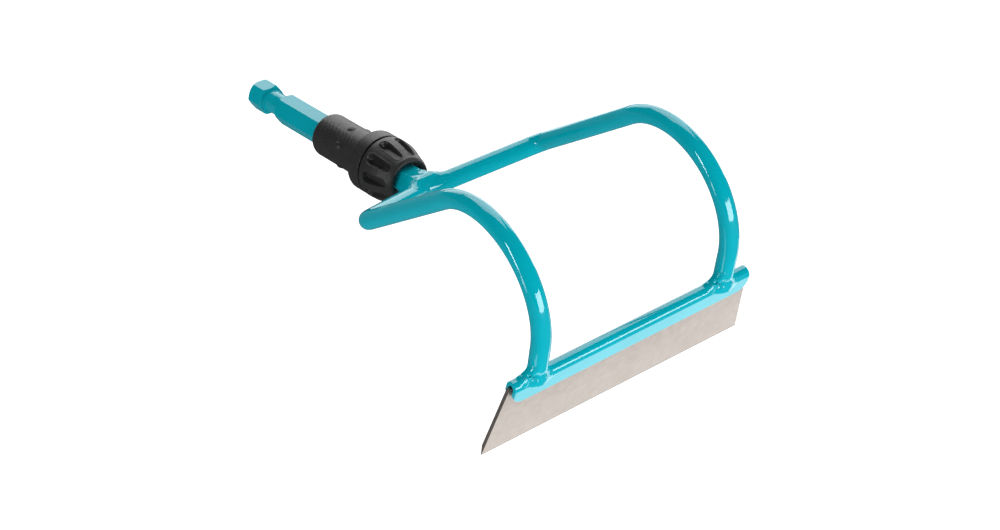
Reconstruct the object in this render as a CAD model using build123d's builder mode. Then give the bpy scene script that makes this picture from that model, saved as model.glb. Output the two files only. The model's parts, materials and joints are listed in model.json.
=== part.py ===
from build123d import *
from math import atan2, cos, radians, sin, sqrt, tan
import os

# Bow-shaped draw-hoe head with a hexagonal quick-connect shank.
# Millimetres, +Z up, lying at rest on its cutting edge and on the head of its shank.
# Every piece is drawn from the TOOL plane: x across the tool, y along the shank towards
# its tip, z square to the shank, and its origin where the shank meets the bent rod.

# ---- driving dimensions ----
rod_d = 10.0  # round bar of the bow
bow_rise = 31.0  # angle between the shank and the plane of the bow's arms
corner_out = 56.75  # half width at the rear corners
corner_fwd = 33.3  # how far the corners lie ahead of the weld, in the arms' plane
apex_r = 11.0  # bend at the weld
corner_r = 12.0  # tight bend at each rear corner
arm_len = 83.0  # corner to the start of the knee
arm_splay = 1.0  # outward angle of each arm
knee_r = 46.0  # large bend down to the blade
knee_turn = 136.0
foot_len = 15.4  # straight end of the rod, down to the channel
foot_spare = 4.0  # drawn longer than that, then cut off flush with the channel's top

hex_af = 15.0  # across flats of the shank
hex_edge_r = 0.5
hex_front = -1.5  # stations along the shank, y in TOOL
hex_rear = 124.5
hex_cone = 2.4  # length of the cone down to the neck
neck_r = 6.0
neck_cove = 0.7  # small chamfer at both ends of the neck
head_front = 136.8
head_rear = 148.6
head_chamfer_r = 7.3
head_chamfer = 1.3  # length of the chamfer at the hexagon's corners

channel_lean = 22.5  # blade and channel lean back from square to the shank
channel_t = 7.2  # outside thickness of the folded channel
sheet_t = 2.0
flange_h = 12.6
fold_r = 3.5  # the sheet is folded over almost in a half round
flange_corner_r = 6.5
channel_edge_r = 0.4  # the enamel rounds the sheet's edges
channel_half = 74.0  # half length at the channel's top
channel_flare = 1.0  # slant of the channel's ends
channel_fwd = 0.6  # channel's middle ahead of the rod's axis

blade_t = 2.0
blade_half = 74.7  # half length of the blade, level with the channel's top
blade_flare = 8.1  # slant of the blade's ends
blade_low = 49.7  # cutting edge below the channel's top
bevel_h = 5.0
edge_t = 0.4
spot_r = 2.5  # weld nuggets between the blade and the front flange
spot_low = 7.5
spot_count = 5
spot_pitch = 30.0
foot_weld_x = 10.5  # puddle on the channel's top, half width and half depth
foot_weld_y = 6.2
foot_weld_h = 6.0
foot_weld_low = 1.2  # the puddle's rim laps over the fold
weld_collar = 0.4  # thickness at which every weld runs out on the rod
shank_weld_rear = 6.5
shank_weld_r = 9.0
arm_weld_len = 17.0
arm_weld_r = 7.4

sleeve_rear = 84.0
sleeve_round = 3.0  # rounding of the sleeve's rear rim
sleeve_r = 12.05
pilot_front = 67.0  # the sleeve is cylindrical behind this, slightly conical before it
sleeve_front_r = 12.3
flange_rear = 44.2
flange_front = 35.2
flange_r = 16.8
flange_round = 0.9
spigot_front = 20.4
spigot_r = 10.3
hex_play = 0.1  # sleeve on the shank, per flat
rim = 0.5  # small chamfer on the sleeve's rims
dome_y = 61.0
dome_count = 6
dome_r = 2.8
dome_h = 0.8

collar_rear = 34.0
collar_front = 12.2
collar_r = 16.9  # largest radius, just ahead of the rear rim
collar_bore_r = 10.65
mouth_r = 9.5
mouth_lip_r = 11.0
lip = 0.4  # chamfer round the mouth
ring_y = 17.6  # thrust ring's front face
ring_t = 1.4
ring_r = 10.0
ring_seat_r = 7.9
ring_gap = 3.0  # opening of the split ring
ring_play = 0.2
bore_play = 0.3  # between the sleeve's spigot and the step in the collar's bore
pocket_count = 10
pocket_rear = 31.2
pocket_len = 14.3
pocket_rear_w = 5.0
pocket_front_w = 3.6
pocket_floor_r = 13.4  # radius of the pocket's floor at its rear
pocket_slope = 3.0
pocket_corner_r = 0.5
pocket_phase = 99.0  # turn of the collar as it is left, from +x towards +z
seal_r = 0.55  # cord radius of the ring in the gap
seal_mean_r = 14.3

trim = 20.0  # reach of construction cuts past a piece

# ---- layout, worked out from the dimensions above ----
rod_r = rod_d / 2
foot = radians(knee_turn)
splay = radians(arm_splay)
lean = radians(channel_lean)
rise = radians(bow_rise)


def bow_to_tool(x, s, n):
    """A point in the bow's own plane (across, forward and up, square to it) in TOOL's terms."""
    return (x, -s * cos(rise) - n * sin(rise), s * sin(rise) - n * cos(rise))


knee_x = corner_out + arm_len * sin(splay)
knee_s = corner_fwd + arm_len * cos(splay)


def knee_point(turn):
    """Centre of the rod, turned by `turn` round the knee, in the bow's plane."""
    run = knee_r * sin(turn)
    return (knee_x + run * sin(splay), knee_s + run * cos(splay), knee_r * (1 - cos(turn)))


def foot_point(length):
    """Centre of the rod, `length` past the knee."""
    x, s, n = knee_point(foot)
    run = length * cos(foot)
    return (x + run * sin(splay), s + run * cos(splay), n + length * sin(foot))


down_y = sin(lean)  # direction from the channel's top to the cutting edge, in TOOL
down_z = -cos(lean)
face_y = -cos(lean)  # direction that the channel's front face looks in
face_z = -sin(lean)
foot_x, foot_y, foot_z = bow_to_tool(*foot_point(foot_len))
top_y = foot_y + channel_fwd * face_y
top_z = foot_z + channel_fwd * face_z
edge_y = top_y + blade_low * down_y
edge_z = top_z + blade_low * down_z
heel_y = head_rear - 1.0  # rearmost full-width point of the head's lower flat
heel_z = -hex_af / 2
tilt = atan2(heel_z - edge_z, heel_y - edge_y)

knee_cy, knee_cz = bow_to_tool(0, knee_s, knee_r)[1:]
front_reach = knee_cy * cos(tilt) + knee_cz * sin(tilt) - knee_r - rod_r
rear_reach = head_rear * cos(tilt) + head_chamfer_r * sin(tilt)
weld_y = -(front_reach + rear_reach) / 2
weld_z = edge_y * sin(tilt) - edge_z * cos(tilt)

along = Vector(0, cos(tilt), -sin(tilt))  # the shank, towards its tip
upward = Vector(0, sin(tilt), cos(tilt))
TOOL = Plane(origin=(0, weld_y, weld_z), x_dir=(1, 0, 0), z_dir=upward)


def at(x, y, z):
    """A point of TOOL in the part's frame."""
    return TOOL.from_local_coords(Vector(x, y, z))


def station(y):
    """Plane square to the shank, its local y up and its normal towards the tip."""
    return Plane(origin=at(0, y, 0), x_dir=(-1, 0, 0), z_dir=along)


BOW = Plane(origin=at(0, 0, 0), x_dir=(1, 0, 0), z_dir=at(*bow_to_tool(0, 0, 1)) - at(0, 0, 0))
down = at(0, down_y, down_z) - at(0, 0, 0)
facing = at(0, face_y, face_z) - at(0, 0, 0)
# Channel's front elevation: local x to the right hand, local y up, origin at the top's middle.
ELEVATION = Plane(origin=at(0, top_y, top_z), x_dir=(1, 0, 0), z_dir=facing)
# Channel's section: local x towards its front, local y up.
SECTION = Plane(origin=at(0, top_y, top_z), x_dir=facing, z_dir=(-1, 0, 0))
shank_axis = Axis(origin=at(0, 0, 0), direction=along)

os.makedirs("parts", exist_ok=True)

# ---- bow: one bent round bar ----
plan = [
    (-knee_x, knee_s),
    (-corner_out, corner_fwd),
    (0, 0),
    (corner_out, corner_fwd),
    (knee_x, knee_s),
]
with BuildLine(BOW) as bow_line:
    FilletPolyline(*plan, radius=[corner_r, apex_r, corner_r])
    with BuildLine(BOW, mode=Mode.PRIVATE) as leg_line:
        ThreePointArc(knee_point(0), knee_point(foot / 2), knee_point(foot))
        Line(knee_point(foot), foot_point(foot_len + foot_spare))
    add(leg_line.line)
    add(leg_line.line.mirror(Plane.YZ))
bow_wire = bow_line.wire()
with BuildPart() as bow_rod:
    with BuildSketch(Plane(origin=bow_wire @ 0, z_dir=bow_wire % 0)):
        Circle(rod_r)
    sweep(path=bow_wire)
    with BuildSketch(Plane(origin=at(0, top_y, top_z), x_dir=(1, 0, 0), z_dir=down)):
        Rectangle(4 * corner_out, 6 * rod_d)
    extrude(amount=3 * rod_d, mode=Mode.SUBTRACT)
bow_rod.part.label = "bow_rod"
export_step(bow_rod.part, "parts/bow_rod.step")


# ---- shank: hexagon bar with a turned neck and a hexagonal head ----
def hexagon(across_flats, corner):
    """Hexagon with one flat up, its corners slightly rounded."""
    RegularPolygon(radius=across_flats / 2, side_count=6, major_radius=False)
    if corner > 0:
        fillet(vertices(), corner)


corner_r_hex = hex_af / sqrt(3)
with BuildPart() as shank_turning:
    with BuildSketch(Plane(origin=at(0, 0, 0), x_dir=(1, 0, 0), z_dir=upward)):
        with BuildLine():
            Polyline(
                (0, hex_front),
                (corner_r_hex, hex_front),
                (corner_r_hex, ring_y),
                (ring_seat_r, ring_y),
                (ring_seat_r, ring_y + ring_t),
                (corner_r_hex, ring_y + ring_t),
                (corner_r_hex, hex_rear - hex_cone),
                (neck_r + neck_cove, hex_rear),
                (neck_r, hex_rear + neck_cove),
                (neck_r, head_front - neck_cove),
                (neck_r + neck_cove, head_front),
                (head_chamfer_r, head_front),
                (corner_r_hex, head_front + head_chamfer),
                (corner_r_hex, head_rear - head_chamfer),
                (head_chamfer_r, head_rear),
                (0, head_rear),
                close=True,
            )
        make_face()
    revolve(axis=shank_axis)
with BuildPart() as hex_shank:
    with BuildSketch(station(hex_front)):
        hexagon(hex_af, hex_edge_r)
    extrude(amount=head_rear - hex_front)
    add(shank_turning.part, mode=Mode.INTERSECT)
    add(bow_rod.part, mode=Mode.SUBTRACT)
hex_shank.part.label = "hex_shank"
export_step(hex_shank.part, "parts/hex_shank.step")

# ---- weld between the shank and the bow ----
bar_angle = atan2(corner_fwd, corner_out)
with BuildPart() as shank_weld:
    with BuildSketch(station(-shank_weld_rear)):
        Circle(arm_weld_r)
    with BuildSketch(station(shank_weld_rear)):
        Circle(shank_weld_r)
    loft()
    for side in (-1, 1):
        bar_dir = BOW.from_local_coords(Vector(side * cos(bar_angle), sin(bar_angle), 0)) - BOW.origin
        with BuildSketch(Plane(origin=BOW.origin - bar_dir * neck_cove, z_dir=bar_dir)):
            Circle(arm_weld_r)
        with BuildSketch(Plane(origin=BOW.origin + bar_dir * arm_weld_len, z_dir=bar_dir)):
            Circle(rod_r + weld_collar)
        loft()
    add(hex_shank.part, mode=Mode.SUBTRACT)
    add(bow_rod.part, mode=Mode.SUBTRACT)
shank_weld.part.label = "shank_weld"
export_step(shank_weld.part, "parts/shank_weld.step")


# ---- channel: folded sheet that grips the blade ----
def slanted(half, drop, flare):
    """Front outline of a plate, `half` wide at the channel's top, its ends flared down to `drop`."""
    wide = half + drop * tan(radians(flare))
    Polygon((-half, 0), (-wide, -drop), (wide, -drop), (half, 0), align=None)


fold_x = (channel_t - sheet_t) / 2
with BuildPart() as blade_channel:
    with BuildSketch(SECTION):
        with BuildLine():
            FilletPolyline(
                (fold_x, -flange_h),
                (fold_x, -sheet_t / 2),
                (-fold_x, -sheet_t / 2),
                (-fold_x, -flange_h),
                radius=fold_r - sheet_t / 2,
            )
        trace(line_width=sheet_t)
    extrude(amount=blade_half + trim, both=True)
    with BuildSketch(ELEVATION):
        slanted(channel_half, flange_h, channel_flare)
        fillet(vertices().group_by(Axis.Y)[0], flange_corner_r)
    extrude(amount=trim, both=True, mode=Mode.INTERSECT)
    flanges = faces().filter_by(Axis((0, 0, 0), facing)).sort_by(Axis((0, 0, 0), facing))
    rims = [skin.edges().sort_by(Axis((0, 0, 0), down))[1:] for skin in (flanges[0], flanges[-1])]
    fillet(rims[0] + rims[1], channel_edge_r)
blade_channel.part.label = "blade_channel"
export_step(blade_channel.part, "parts/blade_channel.step")

# ---- blade: flat plate with a bevelled cutting edge, flared at its ends ----
blade_back = -channel_t / 2 + sheet_t
with BuildPart() as blade:
    with BuildSketch(SECTION):
        Polygon(
            (blade_back, -fold_r),
            (blade_back, -blade_low + bevel_h),
            (blade_back + blade_t - edge_t, -blade_low),
            (blade_back + blade_t, -blade_low),
            (blade_back + blade_t, -fold_r),
            align=None,
        )
    extrude(amount=blade_half + trim, both=True)
    with BuildSketch(ELEVATION):
        slanted(blade_half, blade_low, blade_flare)
    extrude(amount=trim, both=True, mode=Mode.INTERSECT)
blade.part.label = "blade"
export_step(blade.part, "parts/blade.step")

# ---- spot welds that hold the blade in the channel ----
with BuildPart() as blade_spot_welds:
    with BuildSketch(ELEVATION.offset(blade_back + blade_t)):
        with GridLocations(spot_pitch, 1, spot_count, 1):
            with Locations((0, -spot_low)):
                Circle(spot_r)
    extrude(amount=channel_t / 2 - sheet_t - blade_back - blade_t)
blade_spot_welds.part.label = "blade_spot_welds"
export_step(blade_spot_welds.part, "parts/blade_spot_welds.step")

# ---- welds at the feet of the bow ----
for side, name in ((-1, "foot_weld_left"), (1, "foot_weld_right")):
    foot_at = at(side * foot_x, top_y, top_z)
    with BuildPart() as foot_weld:
        with BuildSketch(Plane(origin=foot_at + down * foot_weld_low, x_dir=(1, 0, 0), z_dir=-down)):
            Ellipse(foot_weld_x, foot_weld_y)
        with BuildSketch(Plane(origin=foot_at - down * foot_weld_h, x_dir=(1, 0, 0), z_dir=-down)):
            Circle(rod_r + weld_collar)
        loft()
        add(bow_rod.part, mode=Mode.SUBTRACT)
        add(blade_channel.part, mode=Mode.SUBTRACT)
    foot_weld.part.label = name
    export_step(foot_weld.part, f"parts/{name}.step")

# ---- sleeve: slides on the hexagon and fills the socket of the handle ----
with BuildPart() as connector_sleeve:
    with BuildSketch(TOOL):
        with BuildLine():
            Polyline(
                (0, spigot_front),
                (spigot_r - rim, spigot_front),
                (spigot_r, spigot_front + rim),
                (spigot_r, flange_front),
                (flange_r - rim, flange_front),
                (flange_r, flange_front + rim),
                (flange_r, flange_rear - flange_round),
                (flange_r - flange_round, flange_rear),
                (sleeve_front_r, flange_rear),
                (sleeve_r, pilot_front),
                (sleeve_r, sleeve_rear - sleeve_round),
            )
            RadiusArc(
                (sleeve_r, sleeve_rear - sleeve_round),
                (sleeve_r - sleeve_round, sleeve_rear),
                -sleeve_round,
            )
            Polyline((sleeve_r - sleeve_round, sleeve_rear), (0, sleeve_rear), (0, spigot_front))
        make_face()
    revolve(axis=shank_axis)
    dome_ball = (dome_r**2 + dome_h**2) / (2 * dome_h)
    with Locations(station(dome_y)):
        with PolarLocations(sleeve_front_r + dome_h - dome_ball, dome_count, start_angle=30):
            Sphere(dome_ball)
    with BuildSketch(station(spigot_front - 1)):
        hexagon(hex_af + 2 * hex_play, hex_edge_r)
    extrude(amount=sleeve_rear - spigot_front + 2, mode=Mode.SUBTRACT)
connector_sleeve.part.label = "connector_sleeve"
export_step(connector_sleeve.part, "parts/connector_sleeve.step")

# ---- ring in the gap between the sleeve and the collar ----
with BuildPart() as gap_seal:
    with BuildSketch(TOOL):
        with Locations((seal_mean_r, flange_front - seal_r)):
            Circle(seal_r)
    revolve(axis=shank_axis)
gap_seal.part.label = "gap_seal"
export_step(gap_seal.part, "parts/gap_seal.step")

# ---- thrust ring: split ring in a groove across the hexagon's corners ----
with BuildPart() as thrust_ring:
    with BuildSketch(station(ring_y)):
        Circle(ring_r)
        Circle(ring_seat_r, mode=Mode.SUBTRACT)
        with Locations((0, -ring_r)):
            Rectangle(ring_gap, 2 * ring_r - 2, mode=Mode.SUBTRACT)
    extrude(amount=ring_t)
thrust_ring.part.label = "thrust_ring"
export_step(thrust_ring.part, "parts/thrust_ring.step")

# ---- locking collar: ribbed nut that turns on the shank and drives the sleeve ----
crown = [(collar_r, 30.5), (16.2, 24.5), (14.35, 18.0), (12.8, 14.8), (mouth_lip_r, collar_front + lip)]
rear_half = pocket_rear_w / 2
front_half = pocket_front_w / 2
with BuildPart() as locking_collar:
    with BuildSketch(TOOL):
        with BuildLine():
            Polyline(
                crown[-1],
                (mouth_r + lip, collar_front),
                (mouth_r, collar_front + lip),
                (mouth_r, ring_y - ring_play),
                (ring_r + ring_play, ring_y - ring_play),
                (ring_r + ring_play, ring_y + ring_t + ring_play),
                (mouth_r, ring_y + ring_t + ring_play),
                (mouth_r, spigot_front - bore_play),
                (collar_bore_r, spigot_front - bore_play),
                (collar_bore_r, collar_rear),
                (collar_r - 2 * lip, collar_rear),
                (collar_r - lip / 4, collar_rear - 2 * lip),
                crown[0],
            )
            Spline(*crown)
        make_face()
    revolve(axis=shank_axis)
    for i in range(pocket_count):
        turn = radians(pocket_phase + 360 / pocket_count * i)
        outward = at(cos(turn), 0, sin(turn)) - at(0, 0, 0)
        rear_end = at(0, pocket_rear, 0) + outward * pocket_floor_r
        floor = Plane(origin=rear_end, z_dir=outward, x_dir=along.cross(outward))
        with BuildSketch(floor.rotated((pocket_slope, 0, 0))):
            Polygon(
                (-rear_half, -rear_half),
                (rear_half, -rear_half),
                (front_half, -pocket_len),
                (-front_half, -pocket_len),
                align=None,
            )
            with Locations((0, -rear_half)):
                Circle(rear_half)
            fillet(vertices().group_by(Axis.Y)[0], pocket_corner_r)
        extrude(amount=collar_r - pocket_floor_r + 4, mode=Mode.SUBTRACT)
locking_collar.part.label = "locking_collar"
export_step(locking_collar.part, "parts/locking_collar.step")
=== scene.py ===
import json
from math import atan2, cos, pi, radians, sin, sqrt, tan

import bpy
import numpy as np
import openvdb
from mathutils import Matrix, Vector


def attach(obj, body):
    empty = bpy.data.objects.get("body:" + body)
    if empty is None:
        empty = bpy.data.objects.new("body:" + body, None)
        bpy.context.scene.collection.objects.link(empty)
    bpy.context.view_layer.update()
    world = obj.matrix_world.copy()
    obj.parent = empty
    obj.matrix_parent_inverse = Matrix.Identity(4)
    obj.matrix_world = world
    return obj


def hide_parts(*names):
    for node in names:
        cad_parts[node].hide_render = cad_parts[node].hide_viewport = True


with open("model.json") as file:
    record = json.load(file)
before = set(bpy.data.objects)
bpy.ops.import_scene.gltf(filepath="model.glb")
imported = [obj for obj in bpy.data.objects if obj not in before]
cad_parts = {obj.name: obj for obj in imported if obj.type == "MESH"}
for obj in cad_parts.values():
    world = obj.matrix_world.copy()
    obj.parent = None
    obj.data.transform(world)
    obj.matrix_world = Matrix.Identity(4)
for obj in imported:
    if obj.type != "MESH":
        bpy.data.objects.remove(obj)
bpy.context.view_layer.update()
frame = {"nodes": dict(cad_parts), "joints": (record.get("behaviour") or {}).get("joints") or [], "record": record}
scene = bpy.context.scene
nodes = frame["nodes"]

# ---- the shank's own axes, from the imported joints: x across, y along the shank, z square to it ----
joints = {j["name"]: j for j in frame["joints"]}
ALONG = Vector(joints["sleeve_travel"]["axis"]).normalized()
ACROSS = Vector((1, 0, 0))
UPWARD = ACROSS.cross(ALONG)
PIVOT_Y = 0.025  # the collar's pivot, along the shank from the weld
WELD = Vector(joints["collar_turn"]["pos_m"]) - PIVOT_Y * ALONG


# ---- camera: a long lens from the left front, above, set out in the shank's axes ----
CAMERA_AZIMUTH, CAMERA_ELEVATION, CAMERA_ROLL = radians(-36.33), radians(31.45), radians(-4.364)
CAMERA_AIM = (0.0036, -0.05627, -0.02238)
CAMERA_DISTANCE = 1.535
CAMERA_LENS, CAMERA_SENSOR = 108.99, 36  # millimetres


def tool_point(x, y, z):
    """A point given in the shank's own axes, in metres from the weld."""
    return WELD + x * ACROSS + y * ALONG + z * UPWARD


def add_camera():
    """The photograph's view."""
    level_part = cos(CAMERA_ELEVATION)
    side, ahead = sin(CAMERA_AZIMUTH) * level_part, -cos(CAMERA_AZIMUTH) * level_part
    back = side * ACROSS + ahead * ALONG + sin(CAMERA_ELEVATION) * UPWARD
    level = UPWARD.cross(back).normalized()
    above = back.cross(level)
    right = level * cos(CAMERA_ROLL) + above * sin(CAMERA_ROLL)
    up = above * cos(CAMERA_ROLL) - level * sin(CAMERA_ROLL)
    data = bpy.data.cameras.new("camera")
    data.sensor_width = CAMERA_SENSOR
    data.lens = CAMERA_LENS
    data.clip_end = 50
    camera = bpy.data.objects.new("camera", data)
    turn = Matrix((right, up, back)).transposed().to_4x4()
    camera.matrix_world = Matrix.Translation(tool_point(*CAMERA_AIM) + back * CAMERA_DISTANCE) @ turn
    scene.collection.objects.link(camera)
    scene.camera = camera


add_camera()


# ---- materials ----
def principled(name, **values):
    """A material with one Principled shader whose sockets are set directly."""
    material = bpy.data.materials.new(name)
    material.use_nodes = True
    shader = material.node_tree.nodes["Principled BSDF"]
    for socket, value in values.items():
        shader.inputs[socket.replace("_", " ")].default_value = value
    return material, material.node_tree, shader


def noise(tree, size, detail=2.0, stretch=(1, 1, 1)):
    """Noise texture over object coordinates with features about `size` metres across."""
    place = tree.nodes.new("ShaderNodeTexCoord")
    scale = tree.nodes.new("ShaderNodeMapping")
    scale.inputs["Scale"].default_value = stretch
    texture = tree.nodes.new("ShaderNodeTexNoise")
    texture.inputs["Scale"].default_value = 1 / size
    texture.inputs["Detail"].default_value = detail
    tree.links.new(place.outputs["Object"], scale.inputs["Vector"])
    tree.links.new(scale.outputs["Vector"], texture.inputs["Vector"])
    return texture.outputs["Fac"]


def vary(tree, source, low, high, socket):
    """Drive a number socket from a noise, between two values."""
    spread = tree.nodes.new("ShaderNodeMapRange")
    spread.inputs["From Min"].default_value = 0.3
    spread.inputs["From Max"].default_value = 0.7
    spread.inputs["To Min"].default_value = low
    spread.inputs["To Max"].default_value = high
    tree.links.new(source, spread.inputs["Value"])
    tree.links.new(spread.outputs["Result"], socket)


def tint(tree, source, dark, pale, socket):
    """Colour a socket between two colours by a noise."""
    ramp = tree.nodes.new("ShaderNodeValToRGB")
    ramp.color_ramp.elements[0].position = 0.3
    ramp.color_ramp.elements[1].position = 0.7
    ramp.color_ramp.elements[0].color = (*dark, 1)
    ramp.color_ramp.elements[1].color = (*pale, 1)
    tree.links.new(source, ramp.inputs["Fac"])
    tree.links.new(ramp.outputs["Color"], socket)


def relief(tree, layers, shader):
    """Stack bumps, each a (noise, height in metres) pair, onto the shader's normal."""
    normal = None
    for source, height in layers:
        bump = tree.nodes.new("ShaderNodeBump")
        bump.inputs["Distance"].default_value = height
        tree.links.new(source, bump.inputs["Height"])
        if normal:
            tree.links.new(normal, bump.inputs["Normal"])
        normal = bump.outputs["Normal"]
    tree.links.new(normal, shader.inputs["Normal"])


def enamel_material():
    """Glossy baked paint: even colour, slight orange peel."""
    material, tree, shader = principled("enamel", IOR=1.5, Specular_Tint=(0.9, 1, 1, 1))
    cloud = noise(tree, 0.018, 3.0)
    tint(tree, cloud, (0.0, 0.225, 0.276), (0.0, 0.24, 0.296), shader.inputs["Base Color"])
    vary(tree, noise(tree, 0.006), 0.04, 0.09, shader.inputs["Roughness"])
    peel, sag = noise(tree, 0.0016, 1.0), noise(tree, 0.007, 1.0)
    relief(tree, [(peel, 0.000003), (sag, 0.000018)], shader)
    return material


def steel_material():
    """Satin rolled sheet: faint mottling, with a fine grain along the blade."""
    material, tree, shader = principled("blade_steel", Metallic=1.0)
    cloud = noise(tree, 0.02, 5.0)
    tint(tree, cloud, (0.29, 0.256, 0.231), (0.31, 0.277, 0.252), shader.inputs["Base Color"])
    vary(tree, noise(tree, 0.004, 4.0), 0.36, 0.46, shader.inputs["Roughness"])
    grain = noise(tree, 0.0008, 3.0, (0.08, 1, 1))
    relief(tree, [(grain, 0.00001), (noise(tree, 0.012, 2.0), 0.00006)], shader)
    return material


def plastic_material():
    """Moulded glass-filled nylon: fine spark-eroded grain."""
    material, tree, shader = principled("black_plastic", IOR=1.42)
    tint(tree, noise(tree, 0.006, 4.0), (0.013, 0.013, 0.0133), (0.017, 0.017, 0.0173),
         shader.inputs["Base Color"])
    vary(tree, noise(tree, 0.0015, 3.0), 0.38, 0.47, shader.inputs["Roughness"])
    relief(tree, [(noise(tree, 0.00035, 2.0), 0.00003)], shader)
    return material


def rubber_material():
    """Matt black seal."""
    material, tree, shader = principled("black_rubber")
    tint(tree, noise(tree, 0.002, 2.0), (0.005, 0.005, 0.005), (0.008, 0.008, 0.008),
         shader.inputs["Base Color"])
    vary(tree, noise(tree, 0.001, 2.0), 0.65, 0.78, shader.inputs["Roughness"])
    relief(tree, [(noise(tree, 0.0004, 2.0), 0.00002)], shader)
    return material


def plain_steel_material():
    """Bare turned steel of the hidden ring and the weld nuggets."""
    material, tree, shader = principled("plain_steel", Metallic=1.0)
    tint(tree, noise(tree, 0.002, 3.0), (0.44, 0.43, 0.42), (0.54, 0.53, 0.52), shader.inputs["Base Color"])
    vary(tree, noise(tree, 0.0006, 2.0), 0.28, 0.4, shader.inputs["Roughness"])
    relief(tree, [(noise(tree, 0.0003, 2.0), 0.00001)], shader)
    return material


by_slot = {
    "enamel": enamel_material(),
    "blade_steel": steel_material(),
    "black_plastic": plastic_material(),
    "black_rubber": rubber_material(),
    "plain_steel": plain_steel_material(),
}
slot_of = {s["node"]: s["material_slot"] for s in frame["record"]["subparts"]}
for name, obj in nodes.items():
    obj.data.materials.clear()
    obj.data.materials.append(by_slot[slot_of[name]])


# ---- helpers for new pieces, in millimetres and the shank's axes ----
TOOL_AXES = np.array([ACROSS, ALONG, UPWARD])
TOOL_ORIGIN = np.array(WELD)
BODY_OF = {n: body for body, group in frame["record"]["behaviour"]["bodies"].items() for n in group}


def add_piece(name, points, quads, node):
    """A smooth closed mesh that stands for a CAD node, rides on its body and takes its finish."""
    mesh = bpy.data.meshes.new(name)
    world = TOOL_ORIGIN + points @ TOOL_AXES / 1000
    a, b, c = (world[quads[:, i]] for i in (0, 1, 2))
    if np.einsum("ij,ij->", a, np.cross(b - a, c - a)) < 0:
        quads = quads[:, ::-1]
    mesh.from_pydata(world.tolist(), [], quads.tolist())
    mesh.polygons.foreach_set("use_smooth", np.ones(len(mesh.polygons), dtype=bool))
    mesh.materials.append(by_slot[slot_of[node]])
    piece = bpy.data.objects.new(name, mesh)
    scene.collection.objects.link(piece)
    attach(piece, BODY_OF[node])
    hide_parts(node)
    return piece


def rounded(corners, step):
    """Closed outline through (x, y, radius) corners, each rounded, with points every `step` or less."""
    n = len(corners)
    stops = []
    for i in range(n):
        before, here, after = (np.array(corners[(i + k) % n][:2], float) for k in (-1, 0, 1))
        radius = corners[i][2]
        u = (before - here) / np.linalg.norm(before - here)
        v = (after - here) / np.linalg.norm(after - here)
        half = np.arccos(np.clip(u @ v, -1, 1)) / 2
        if radius == 0 or half > pi / 2 - 0.01:
            stops.append(here)
            continue
        reach = radius / np.tan(half)
        centre = here + (u + v) / np.linalg.norm(u + v) * radius / np.sin(half)
        start, end = here + u * reach - centre, here + v * reach - centre
        sweep = np.arctan2(start[0] * end[1] - start[1] * end[0], start @ end)
        for t in np.linspace(0, 1, max(3, int(abs(sweep) * radius / step) + 2)):
            c, d = np.cos(sweep * t), np.sin(sweep * t)
            stops.append(centre + np.array([c * start[0] - d * start[1], d * start[0] + c * start[1]]))
    outline = []
    for i in range(len(stops)):
        a, b = stops[i], stops[(i + 1) % len(stops)]
        count = max(1, int(np.ceil(np.linalg.norm(b - a) / step)))
        outline += [a + (b - a) * k / count for k in range(count)]
    return np.array(outline)


def lathe(name, outline, columns, reshape, node):
    """Turn a closed (radius, y) outline round the shank; reshape(radius, y, phi) gives new radii."""
    rows = len(outline)
    phi = np.arange(columns) * 2 * pi / columns
    radius = np.repeat(outline[:, :1], columns, axis=1)
    y = np.repeat(outline[:, 1:2], columns, axis=1)
    phi = np.repeat(phi[None, :], rows, axis=0)
    radius = reshape(radius, y, phi)
    points = np.stack([radius * np.cos(phi), y, radius * np.sin(phi)], axis=-1).reshape(-1, 3)
    i, j = np.meshgrid(np.arange(rows), np.arange(columns), indexing="ij")
    i2, j2 = (i + 1) % rows, (j + 1) % columns
    corners = (i * columns + j, i2 * columns + j, i2 * columns + j2, i * columns + j2)
    return add_piece(name, points, np.stack(corners, axis=-1).reshape(-1, 4), node)


def smoothstep(t):
    t = np.clip(t, 0, 1)
    return t * t * (3 - 2 * t)


# ---- collar: crowned nut with ten soft-edged pockets ----
COLLAR_REAR, COLLAR_FRONT = 34.0, 12.2
POCKETS = 10
POCKET_PHASE = radians(99)
REAR_Y, REAR_R = 28.3, 2.75  # round ends of a pocket: station and radius
FRONT_Y, FRONT_R = 17.6, 2.15
POCKET_WALL = 0.95  # width over which a pocket's wall falls
POCKET_EDGE = 0.3  # how far outside a pocket's outline its wall starts
POCKET_FLOOR, FLOOR_SLOPE = 13.4, 0.06  # radius of a pocket's floor at REAR_Y, and its rise per mm
CROWN_R, CROWN_FADE = 11.6, 0.8  # pockets cut the crown only: where it starts, and over what width
REAR_LAND, REAR_FADE = 0.7, 0.6  # plain band in front of the rear face, and over what width it ends
RIM_H, RIM_OUT, RIM_W = 0.12, 0.55, 0.26  # raised lip round a pocket: height, place and width
COLLAR_STEP, COLLAR_COLUMNS = 0.2, 640


def slot_distance(u, y):
    """Signed distance from a pocket's outline, a tapered slot along y, negative inside."""
    t = np.clip((y - FRONT_Y) / (REAR_Y - FRONT_Y), 0, 1)
    return np.hypot(u, y - FRONT_Y - t * (REAR_Y - FRONT_Y)) - (FRONT_R + t * (REAR_R - FRONT_R))


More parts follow.
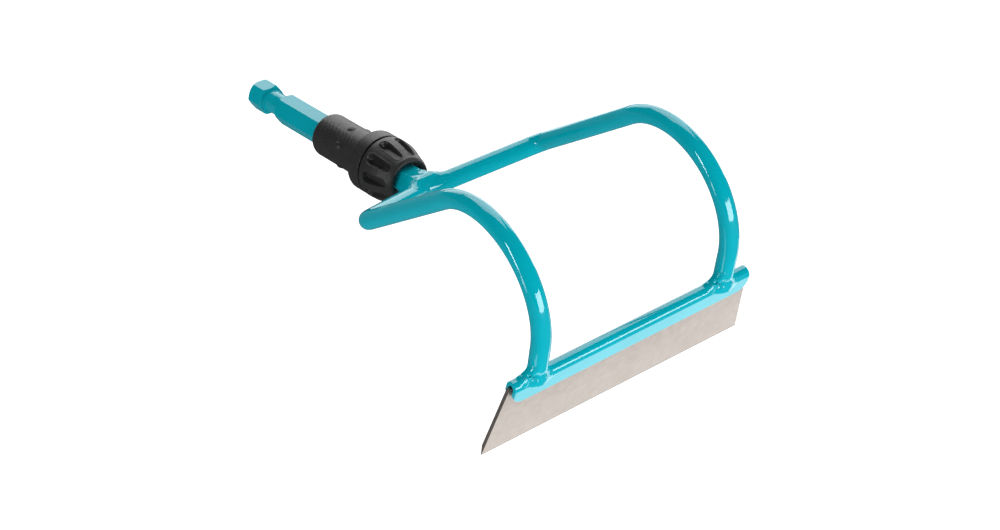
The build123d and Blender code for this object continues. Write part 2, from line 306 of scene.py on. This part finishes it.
def collar_relief(radius, y, phi):
    outer = smoothstep((radius - CROWN_R) / CROWN_FADE)
    outer *= smoothstep((COLLAR_REAR - REAR_LAND - y) / REAR_FADE)
    pitch = 2 * pi / POCKETS
    u = radius * ((phi - POCKET_PHASE + pitch / 2) % pitch - pitch / 2)
    away = slot_distance(u, y)
    floor = POCKET_FLOOR + FLOOR_SLOPE * (y - REAR_Y)
    depth = np.maximum(radius - floor, 0)
    inside = smoothstep((POCKET_EDGE - away) / POCKET_WALL)
    lip = RIM_H * np.exp(-((away - RIM_OUT) / RIM_W) ** 2)
    return radius - outer * (depth * inside - lip)


def add_collar():
    crown = [(11.7, 12.2, 0.5), (12.75, 13.6, 1.0), (13.6, 16.2, 6), (15.3, 21.0, 20), (16.35, 25.2, 20),
             (16.9, 30.6, 8), (16.9, COLLAR_REAR, 0.6)]
    bore = [(10.65, COLLAR_REAR, 0.3), (10.65, 20.1, 0), (9.5, 20.1, 0), (9.5, 19.2, 0), (10.2, 19.2, 0),
            (10.2, 17.4, 0), (9.5, 17.4, 0), (9.5, 13.1, 0.2), (10.3, 12.6, 0.3), (10.7, COLLAR_FRONT, 0.3)]
    outline = rounded(crown + bore, COLLAR_STEP)
    lathe("collar_shell", outline, COLLAR_COLUMNS, collar_relief, "locking_collar")


add_collar()

# ---- sleeve: flanged socket core with six grip domes and a row of slanted grip bars ----
SLEEVE_REAR = 84.0
DOMES = 6
DOME_Y, DOME_R, DOME_H = 61.0, 2.45, 0.85
HEX_BORE = 7.6  # from the axis to a flat
BAR_Y, BAR_PITCH, BAR_COUNT = 78.5, 3.0, 9
BAR_PHI = radians(121)
BAR_HALF, BAR_W, BAR_H, BAR_SLANT = 2.6, 0.45, 0.22, 0.45
BAR_FOOT, BAR_SIDE = 0.3, 0.45  # how far a bar's side starts outside its width, and how wide it is
WALL_IN, WALL_OUT, WALL_START = 11.8, 12.6, 46  # radii and start of the wall that carries domes and bars
CORE_R, CORE_FADE = 9.6, 1.6  # inside this radius the bore changes from round to hexagonal
SLEEVE_STEP, SLEEVE_COLUMNS = 0.24, 480


def hexagon_radius(phi):
    """Distance from the axis to the hexagonal bore, flats up and down."""
    return HEX_BORE / np.cos((phi - radians(60)) % radians(60) - radians(30))


def sleeve_relief(radius, y, phi):
    pitch = 2 * pi / DOMES
    off = (phi - radians(30) + pitch / 2) % pitch - pitch / 2
    near = np.hypot(radius * off, y - DOME_Y) / DOME_R
    dome = DOME_H * np.clip(1 - near**2, 0, 1)
    across = radius * ((phi - BAR_PHI + pi) % (2 * pi) - pi)
    lean = y - BAR_Y + BAR_SLANT * across
    k = np.clip(np.round(-lean / BAR_PITCH), 0, BAR_COUNT - 1)
    reach = np.hypot(lean + k * BAR_PITCH, np.maximum(np.abs(across) - BAR_HALF, 0))
    bar = BAR_H * smoothstep((BAR_W + BAR_FOOT - reach) / BAR_SIDE)
    wall = (radius > WALL_IN) & (radius < WALL_OUT) & (y > WALL_START)
    out = radius + np.where(wall, np.maximum(dome, bar), 0)
    core = smoothstep((CORE_R - radius) / CORE_FADE)
    return np.where(radius < CORE_R, radius + core * (hexagon_radius(phi) - radius), out)


def add_sleeve():
    outline = [(8.0, 20.4, 0.2), (10.3, 20.4, 0.5), (10.3, 35.2, 0.3), (16.8, 35.2, 0.6), (16.8, 44.2, 0.9),
               (12.3, 44.2, 0.9), (12.05, 67.0, 0), (12.05, SLEEVE_REAR, 3.0), (8.0, SLEEVE_REAR, 0.3)]
    outline = rounded(outline, SLEEVE_STEP)
    lathe("sleeve_shell", outline, SLEEVE_COLUMNS, sleeve_relief, "connector_sleeve")


add_sleeve()


# ---- bow: the rod swept with close, even rings, so that reflections run smoothly along it ----
ROD_R = 5.0
BOW_RISE = radians(31)
CORNER_OUT, CORNER_FWD, APEX_R, CORNER_R = 56.75, 33.3, 11.0, 12.0
ARM_LEN, ARM_SPLAY = 83.0, radians(1)
KNEE_R, KNEE_TURN, FOOT_LEN = 46.0, radians(136), 15.4
CHANNEL_LEAN, CHANNEL_T, FOLD_R, CHANNEL_FWD = radians(22.5), 7.2, 3.5, 0.6
RING_POINTS, BEND_STEP, BAR_STEP = 64, 0.7, 4.0
ROD_INSET = 0.03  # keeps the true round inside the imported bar's box
CHANNEL_UP = np.array([0, -sin(CHANNEL_LEAN), cos(CHANNEL_LEAN)])
CHANNEL_FRONT = np.array([0, -cos(CHANNEL_LEAN), -sin(CHANNEL_LEAN)])


def from_bow(p):
    """Points of the bow's plane, across, forward and square to it, in the shank's axes."""
    x, s, n = np.moveaxis(np.asarray(p, float), -1, 0)
    y = -s * cos(BOW_RISE) - n * sin(BOW_RISE)
    return np.stack([x, y, s * sin(BOW_RISE) - n * cos(BOW_RISE)], axis=-1)


def foot_centre(side):
    """Middle of the channel's top where a leg stands, in the shank's axes."""
    run = ARM_LEN + KNEE_R * sin(KNEE_TURN) + FOOT_LEN * cos(KNEE_TURN)
    n = KNEE_R * (1 - cos(KNEE_TURN)) + FOOT_LEN * sin(KNEE_TURN)
    foot = from_bow([side * (CORNER_OUT + run * sin(ARM_SPLAY)), CORNER_FWD + run * cos(ARM_SPLAY), n])
    return foot + CHANNEL_FWD * CHANNEL_FRONT


def half_bow():
    """Rings of the rod from the bow's middle to its right foot, walked bend by bend."""
    bar = atan2(CORNER_FWD, CORNER_OUT)
    corner = pi / 2 - ARM_SPLAY - bar
    flat, hook = Vector((0, 0, 1)), Vector((cos(ARM_SPLAY), -sin(ARM_SPLAY), 0))  # axes of the bends
    bar_len = sqrt(CORNER_OUT**2 + CORNER_FWD**2) - APEX_R * tan(bar) - CORNER_R * tan(corner / 2)
    runs = (
        (APEX_R * bar, bar, flat),
        (bar_len, 0, flat),
        (CORNER_R * corner, corner, flat),
        (ARM_LEN - CORNER_R * tan(corner / 2), 0, flat),
        (KNEE_R * KNEE_TURN, KNEE_TURN, hook),
        (FOOT_LEN, 0, hook),
    )
    phi = np.arange(RING_POINTS) * 2 * pi / RING_POINTS
    circle = (ROD_R - ROD_INSET) * np.stack([0 * phi, np.cos(phi), np.sin(phi)])
    here = Vector((0, APEX_R / cos(bar) - APEX_R, 0))
    axes = Matrix.Identity(3)  # the first column looks along the rod
    rings = [np.array(here) + (np.array(axes) @ circle).T]
    for length, turn, axis in runs:
        count = int(np.ceil(length / (BEND_STEP if turn else BAR_STEP)))
        half = Matrix.Rotation(turn / count / 2, 3, axis)
        chord = 2 * length / turn * sin(turn / count / 2) if turn else length / count
        for _ in range(count):
            axes = half @ axes
            here = here + axes.col[0] * chord
            axes = half @ axes
            rings.append(np.array(here) + (np.array(axes) @ circle).T)
    rings = from_bow(rings)
    ahead = from_bow(axes.col[0])
    lift = (foot_centre(1) - rings[-1]) @ CHANNEL_UP / (ahead @ CHANNEL_UP)
    rings[-1] += lift[:, None] * ahead  # cut flush with the channel's top
    return rings


def add_bow():
    right = half_bow()
    rings = np.concatenate([right[:0:-1] * (-1, 1, 1), right])
    index = np.arange(len(rings) * RING_POINTS).reshape(len(rings), RING_POINTS)
    a, b = index[:-1], index[1:]
    wall = np.stack([a, b, np.roll(b, -1, axis=1), np.roll(a, -1, axis=1)], axis=-1).reshape(-1, 4)
    j = np.arange(RING_POINTS // 2 - 1)
    start = np.stack([index[0][j], index[0][j + 1], index[0][-2 - j], index[0][-1 - j]], axis=-1)
    end = np.stack([index[-1][-1 - j], index[-1][-2 - j], index[-1][j + 1], index[-1][j]], axis=-1)
    add_piece("bow_bar", rings.reshape(-1, 3), np.concatenate([wall, start, end]), "bow_rod")


add_bow()


# ---- welds: smooth blends meshed from distance fields ----
SKIN = 0.05  # how far a weld's surface starts below the bar it runs out on
DEPTH = 0.9  # how far a weld reaches into the bars
THIN = 0.02  # a weld ends where it would add less than this
HEX_HALF, HEX_START = 7.5, -1.5  # shank's hexagon: axis to a flat, and where it begins
SHANK_BLEND, FOOT_BLEND, WEB_BLEND = 8.5, 4.0, 2.2  # widths over which welded shapes flow together
SHANK_RIPPLE, SHANK_WAVE, SHANK_SEED, SHANK_FADE = 0.22, 7.0, 3, 1.2
FOOT_RIPPLE, FOOT_WAVE, FOOT_SEED, FOOT_FADE = 0.04, 3.2, 11, 0.8
SHANK_CELL, FOOT_CELL = 0.4, 0.3
WEB_START, WEB_RUN, WEB_TOP, WEB_R = -3.6, 5.4, 5.6, 2.1  # web from a leg down to the channel
WEB_SINK, WEB_SQUASH = 0.6, 0.8  # how far the web lies sunk, and its widening in depth
PIT_R, DROP_R, DROP_BLEND = 1.1, 0.5, 0.7
PIT = (-7.2, 1.9, 3.0)  # crater and spatter on a foot weld: across, forward, up
SPATTER = ((-9.4, 1.6, 1.6), (-5.0, 3.2, 1.2), (-3.2, 4.0, -0.9), (1.6, 4.8, 0.6))


def largest_part(points, quads):
    """The biggest connected part of a mesh, without the loose specks that a field can leave."""
    label = np.arange(len(points))
    while True:
        spread = label.copy()
        np.minimum.at(spread, quads, label[quads].min(axis=1)[:, None])
        spread = spread[spread]
        if np.array_equal(spread, label):
            break
        label = spread
    owner = label[quads[:, 0]]
    used, numbered = np.unique(quads[owner == np.bincount(owner).argmax()], return_inverse=True)
    return points[used], numbered.reshape(-1, 4)


def sculpt(name, low, high, cell, field, place, node):
    """Mesh the zero surface of a field over a box; `place` takes its points to the shank's axes."""
    axes = [np.arange(a, b + cell, cell) for a, b in zip(low, high)]
    x, y, z = np.meshgrid(*axes, indexing="ij")
    values = field(x, y, z)
    for axis in range(3):
        for face in (0, -1):
            index = [slice(None)] * 3
            index[axis] = face
            values[tuple(index)] = cell
    grid = openvdb.FloatGrid(background=cell)
    grid.copyFromArray(values.astype(np.float32))
    points, _, quads = grid.convertToPolygons(isovalue=0.0)
    points, quads = largest_part(points, quads.astype(int))
    return add_piece(name, place(points * cell + np.array(low)), quads, node)


def blend(a, b, width):
    """Smooth union of two distances, and how much it adds to the plain union."""
    h = np.clip(1 - np.abs(a - b) / width, 0, 1)
    added = h * h * width / 4
    return np.minimum(a, b) - added, added


def ripple(x, y, z, wavelength, seed):
    """Gentle seeded unevenness, about -1 to 1."""
    rng = np.random.default_rng(seed)
    total = np.zeros_like(x)
    for _ in range(7):
        d = rng.normal(size=3)
        d *= 2 * pi / wavelength / np.linalg.norm(d) * rng.uniform(0.7, 1.4)
        total += np.sin(d[0] * x + d[1] * y + d[2] * z + rng.uniform(0, 2 * pi))
    return total / 3


def bow_frame(x, y, z):
    """The shank's axes turned into the bow's plane: across, forward and square to it."""
    return x, -y * cos(BOW_RISE) + z * sin(BOW_RISE), -y * sin(BOW_RISE) - z * cos(BOW_RISE)


def shank_weld_field(x, y, z):
    x, s, n = bow_frame(x, y, z)
    bar_angle = atan2(CORNER_FWD, CORNER_OUT)
    centre = APEX_R / cos(bar_angle)
    on_bend = np.arctan2(np.abs(x), centre - s) < bar_angle
    bend = np.abs(np.hypot(x, s - centre) - APEX_R)
    arm = np.abs(cos(bar_angle) * s - sin(bar_angle) * np.abs(x))
    rod = np.hypot(np.where(on_bend, bend, arm), n) - ROD_R
    y_tool = -s * cos(BOW_RISE) - n * sin(BOW_RISE)
    z_tool = s * sin(BOW_RISE) - n * cos(BOW_RISE)
    flats = np.maximum(np.abs(z_tool), np.abs(z_tool) / 2 + np.abs(x) * sqrt(3) / 2) - HEX_HALF
    bar = np.maximum(flats, HEX_START - y_tool)
    field, added = blend(rod, bar, SHANK_BLEND)
    field -= SHANK_RIPPLE * ripple(x, s, n, SHANK_WAVE, SHANK_SEED) * smoothstep(added / SHANK_FADE)
    shell = np.maximum(-DEPTH - rod, -DEPTH - bar)
    return np.maximum.reduce([field + SKIN, shell, THIN - added])


def add_shank_weld():
    low, high = (-26, -20, -12), (26, 11, 15)
    sculpt("shank_weld_bead", low, high, SHANK_CELL, shank_weld_field, lambda p: p, "shank_weld")


def add_foot_weld(side, name):
    """Puddle round a leg, with a web on its left side; local axes x across, w forward, v up."""
    centre = foot_centre(side)
    tilt = KNEE_TURN - BOW_RISE - pi / 2 - CHANNEL_LEAN  # leg's lean back from the channel's

    def field(x, w, v):
        back = w + CHANNEL_FWD
        leg = np.hypot(x, back * cos(tilt) - v * sin(tilt)) - ROD_R
        q1 = np.abs(w) - (CHANNEL_T / 2 - FOLD_R)
        q2 = v + FOLD_R
        slab = np.hypot(np.maximum(q1, 0), np.maximum(q2, 0)) + np.minimum(np.maximum(q1, q2), 0) - FOLD_R
        field, _ = blend(leg, slab, FOOT_BLEND)
        t = np.clip((WEB_START - x) / WEB_RUN, 0, 1)
        spine = np.hypot(x - WEB_START + WEB_RUN * t, v - WEB_TOP * (1 - t) + WEB_SINK)
        web = np.hypot(spine, w * WEB_SQUASH) - WEB_R
        field, _ = blend(field, web, WEB_BLEND)
        gain = np.minimum(leg, slab) - field
        uneven = ripple(x, w, v, FOOT_WAVE, FOOT_SEED + side)
        field -= FOOT_RIPPLE * uneven * smoothstep(gain / FOOT_FADE)
        for dx, dw, dv in SPATTER:
            drop = np.sqrt((x - dx) ** 2 + (w - dw) ** 2 + (v - dv) ** 2) - DROP_R
            field, _ = blend(field, drop, DROP_BLEND)
        px, pw, pv = PIT
        pit = np.sqrt((x - px) ** 2 + (w - pw) ** 2 + (v - pv) ** 2) - PIT_R
        field = np.maximum(field, -pit)
        shell = np.maximum(-DEPTH - leg, -DEPTH - slab)
        return np.maximum.reduce([field + SKIN, shell, THIN - gain])

    def place(points):
        return centre + points @ channel_axes

    channel_axes = np.array([(1, 0, 0), CHANNEL_FRONT, CHANNEL_UP])
    sculpt(name + "_bead", (-14, -9, -5), (12, 9, 11), FOOT_CELL, field, place, name)


add_shank_weld()
add_foot_weld(-1, "foot_weld_left")
add_foot_weld(1, "foot_weld_right")


# ---- stage ----
# Softboxes round the object: azimuth and elevation of the middle, width and height in degrees,
# and radiance. Azimuth 0 is the front, -Y, and 90 the right, +X.
SOFTBOXES = (
    ("window", 142, 50, 70, 42, 3.6),
    ("wall", 140, 12, 70, 30, 2.6),
    ("front_box", 6, 7, 56, 24, 11.0),
    ("left_strip", -91, 12, 6, 30, 18.0),
)
TABLE_LIGHTS = (  # middle and size in metres, and radiance
    ("table_front", 0.03, -0.158, 0.3, 0.034, 1.9),
    ("table_left", -0.83, -0.10, 0.96, 0.05, 8.0),
    ("table_right", 0.4, 0.25, 0.55, 0.6, 2.0),
)
FLOOR_GLOW = (1.3, 1.5, 0.07)  # radiance towards the camera, diffuse light and reflections
ROOM_GLOW = (0.5, 0.55, 0.03)
BOX_DISTANCE = 2.2
FLOOR_HALF = 4.0
FLOOR_GAP = 0.0002  # the floor lies this far below z = 0, and the table's lights this far above it
FOCUS = Vector((0, -0.06, 0.05))


def area_light(name, width, height, radiance):
    """A rectangular area light of a given size in metres and radiance."""
    data = bpy.data.lights.new(name, "AREA")
    data.shape = "RECTANGLE"
    data.size, data.size_y = width, height
    data.energy = radiance * pi * width * height
    light = bpy.data.objects.new(name, data)
    scene.collection.objects.link(light)
    return light


def softbox(name, azimuth, elevation, width, height, radiance):
    """A light that fills the given angles as seen from the object."""
    az, el = radians(azimuth), radians(elevation)
    outward = Vector((sin(az) * cos(el), -cos(az) * cos(el), sin(el)))
    across = 2 * BOX_DISTANCE * tan(radians(width) / 2) * cos(el)
    light = area_light(name, across, 2 * BOX_DISTANCE * tan(radians(height) / 2), radiance)
    light.location = FOCUS + outward * BOX_DISTANCE
    light.rotation_euler = (-outward).to_track_quat("-Z", "Y").to_euler()


def table_light(name, x, y, width, depth, radiance):
    """A bright patch of the table, which lies on the floor and faces up."""
    light = area_light(name, width, depth, radiance)
    light.location = (x, y, FLOOR_GAP)
    light.rotation_euler.x = pi


def by_ray(tree, glow, socket):
    """Set a strength by what looks at it: the camera, diffuse light or a reflection."""
    to_camera, to_diffuse, to_mirror = glow
    path = tree.nodes.new("ShaderNodeLightPath")
    seen = tree.nodes.new("ShaderNodeMapRange")
    seen.inputs["To Min"].default_value = to_diffuse
    seen.inputs["To Max"].default_value = to_camera
    mirrored = tree.nodes.new("ShaderNodeMapRange")
    mirrored.inputs["To Max"].default_value = to_mirror
    tree.links.new(path.outputs["Is Camera Ray"], seen.inputs["Value"])
    tree.links.new(path.outputs["Is Glossy Ray"], mirrored.inputs["Value"])
    tree.links.new(seen.outputs["Result"], mirrored.inputs["To Min"])
    tree.links.new(mirrored.outputs["Result"], socket)


def add_stage():
    """A pale glowing table, dim surroundings and the softboxes."""
    mesh = bpy.data.meshes.new("floor")
    s = FLOOR_HALF
    mesh.from_pydata([(-s, -s, 0), (s, -s, 0), (s, s, 0), (-s, s, 0)], [], [(0, 1, 2, 3)])
    floor = bpy.data.objects.new("floor", mesh)
    floor.location.z = -FLOOR_GAP
    scene.collection.objects.link(floor)
    material, tree, shader = principled("floor", Base_Color=(0.03, 0.03, 0.03, 1), Roughness=0.9,
                                        Emission_Color=(1, 1, 1, 1))
    by_ray(tree, FLOOR_GLOW, shader.inputs["Emission Strength"])
    mesh.materials.append(material)
    world = bpy.data.worlds.new("studio")
    world.use_nodes = True
    backdrop = world.node_tree.nodes["Background"]
    backdrop.inputs["Color"].default_value = (1, 1, 1, 1)
    by_ray(world.node_tree, ROOM_GLOW, backdrop.inputs["Strength"])
    scene.world = world
    for box in SOFTBOXES:
        softbox(*box)
    for box in TABLE_LIGHTS:
        table_light(*box)


add_stage()
scene.view_settings.view_transform = "Standard"
